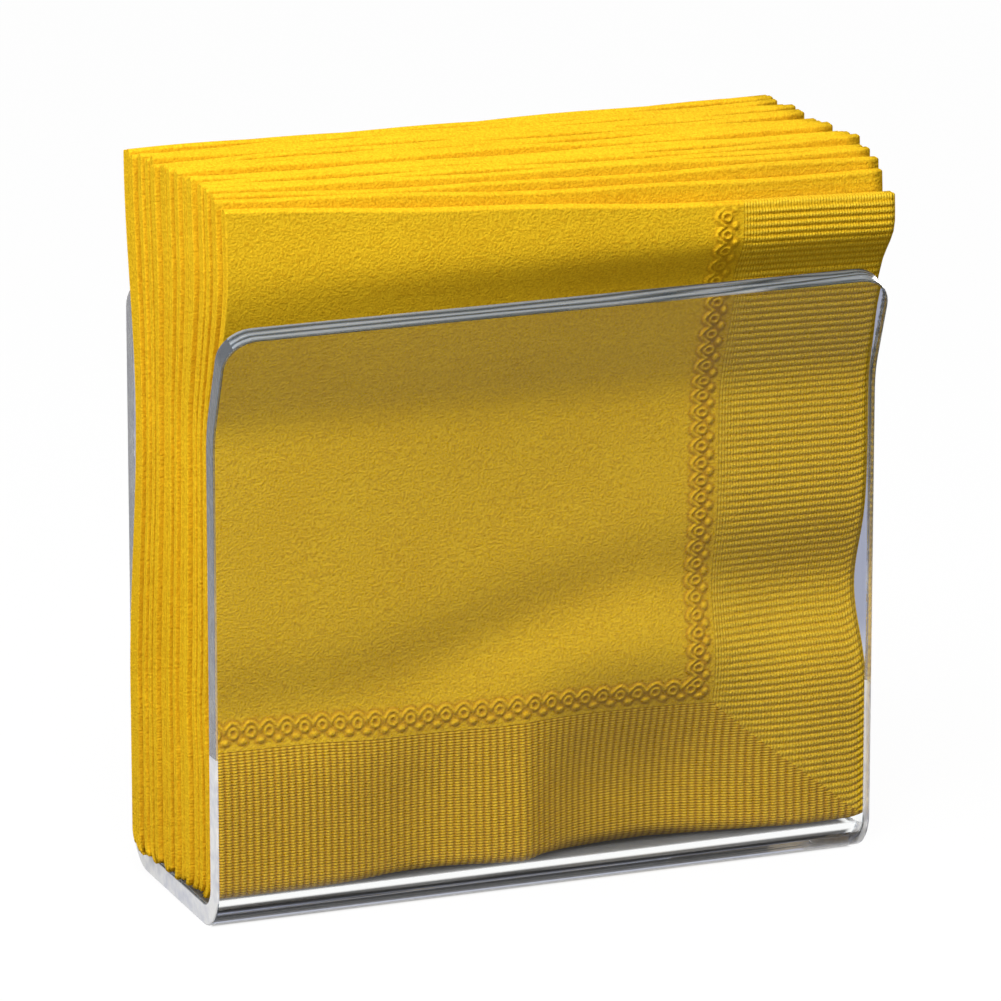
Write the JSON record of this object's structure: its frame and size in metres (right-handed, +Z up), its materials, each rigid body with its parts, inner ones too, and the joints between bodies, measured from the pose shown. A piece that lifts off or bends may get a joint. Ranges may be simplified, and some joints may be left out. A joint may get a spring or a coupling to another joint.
{
  "type": "napkin holder",
  "caption": "Free-standing clear acrylic napkin holder bent from one sheet, with a flared front lip and open ends, holding a stack of embossed yellow paper napkins folded in quarters.",
  "frame": {"origin": "centre of the holder's underside, on the table", "axes": "+Z up, +Y from the front panel to the back panel, +X to the right seen from the front"},
  "size_m": [0.1285, 0.057, 0.1352],
  "materials": {
    "clear_acrylic": "clear, polished faces",
    "napkin_paper": "soft matt tissue paper"
  },
  "bodies": {
    "holder": {"holder": "clear_acrylic"},
    "napkin_01": {"napkin_01": "napkin_paper"},
    "napkin_02": {"napkin_02": "napkin_paper"},
    "napkin_03": {"napkin_03": "napkin_paper"},
    "napkin_04": {"napkin_04": "napkin_paper"},
    "napkin_05": {"napkin_05": "napkin_paper"},
    "napkin_06": {"napkin_06": "napkin_paper"},
    "napkin_07": {"napkin_07": "napkin_paper"},
    "napkin_08": {"napkin_08": "napkin_paper"},
    "napkin_09": {"napkin_09": "napkin_paper"},
    "napkin_10": {"napkin_10": "napkin_paper"},
    "napkin_11": {"napkin_11": "napkin_paper"},
    "napkin_12": {"napkin_12": "napkin_paper"},
    "napkin_13": {"napkin_13": "napkin_paper"},
    "napkin_14": {"napkin_14": "napkin_paper"},
    "napkin_15": {"napkin_15": "napkin_paper"},
    "napkin_16": {"napkin_16": "napkin_paper"},
    "napkin_17": {"napkin_17": "napkin_paper"},
    "napkin_18": {"napkin_18": "napkin_paper"},
    "napkin_19": {"napkin_19": "napkin_paper"},
    "napkin_20": {"napkin_20": "napkin_paper"},
    "napkin_21": {"napkin_21": "napkin_paper"},
    "napkin_22": {"napkin_22": "napkin_paper"}
  },
  "joints": [
    {"name": "napkin_01_slide", "type": "slide", "parent": "holder", "child": "napkin_01", "axis": [-1, 0, 0], "range_m": [0, 0.14]},
    {"name": "napkin_02_slide", "type": "slide", "parent": "holder", "child": "napkin_02", "axis": [-1, 0, 0], "range_m": [0, 0.14]},
    {"name": "napkin_03_slide", "type": "slide", "parent": "holder", "child": "napkin_03", "axis": [-1, 0, 0], "range_m": [0, 0.14]},
    {"name": "napkin_04_slide", "type": "slide", "parent": "holder", "child": "napkin_04", "axis": [-1, 0, 0], "range_m": [0, 0.14]},
    {"name": "napkin_05_slide", "type": "slide", "parent": "holder", "child": "napkin_05", "axis": [-1, 0, 0], "range_m": [0, 0.14]},
    {"name": "napkin_06_slide", "type": "slide", "parent": "holder", "child": "napkin_06", "axis": [-1, 0, 0], "range_m": [0, 0.14]},
    {"name": "napkin_07_slide", "type": "slide", "parent": "holder", "child": "napkin_07", "axis": [-1, 0, 0], "range_m": [0, 0.14]},
    {"name": "napkin_08_slide", "type": "slide", "parent": "holder", "child": "napkin_08", "axis": [-1, 0, 0], "range_m": [0, 0.14]},
    {"name": "napkin_09_slide", "type": "slide", "parent": "holder", "child": "napkin_09", "axis": [-1, 0, 0], "range_m": [0, 0.14]},
    {"name": "napkin_10_slide", "type": "slide", "parent": "holder", "child": "napkin_10", "axis": [-1, 0, 0], "range_m": [0, 0.14]},
    {"name": "napkin_11_slide", "type": "slide", "parent": "holder", "child": "napkin_11", "axis": [-1, 0, 0], "range_m": [0, 0.14]},
    {"name": "napkin_12_slide", "type": "slide", "parent": "holder", "child": "napkin_12", "axis": [-1, 0, 0], "range_m": [0, 0.14]},
    {"name": "napkin_13_slide", "type": "slide", "parent": "holder", "child": "napkin_13", "axis": [-1, 0, 0], "range_m": [0, 0.14]},
    {"name": "napkin_14_slide", "type": "slide", "parent": "holder", "child": "napkin_14", "axis": [-1, 0, 0], "range_m": [0, 0.14]},
    {"name": "napkin_15_slide", "type": "slide", "parent": "holder", "child": "napkin_15", "axis": [-1, 0, 0], "range_m": [0, 0.14]},
    {"name": "napkin_16_slide", "type": "slide", "parent": "holder", "child": "napkin_16", "axis": [-1, 0, 0], "range_m": [0, 0.14]},
    {"name": "napkin_17_slide", "type": "slide", "parent": "holder", "child": "napkin_17", "axis": [-1, 0, 0], "range_m": [0, 0.14]},
    {"name": "napkin_18_slide", "type": "slide", "parent": "holder", "child": "napkin_18", "axis": [-1, 0, 0], "range_m": [0, 0.14]},
    {"name": "napkin_19_slide", "type": "slide", "parent": "holder", "child": "napkin_19", "axis": [-1, 0, 0], "range_m": [0, 0.14]},
    {"name": "napkin_20_slide", "type": "slide", "parent": "holder", "child": "napkin_20", "axis": [-1, 0, 0], "range_m": [0, 0.14]},
    {"name": "napkin_21_slide", "type": "slide", "parent": "holder", "child": "napkin_21", "axis": [-1, 0, 0], "range_m": [0, 0.14]},
    {"name": "napkin_22_slide", "type": "slide", "parent": "holder", "child": "napkin_22", "axis": [-1, 0, 0], "range_m": [0, 0.14]}
  ]
}
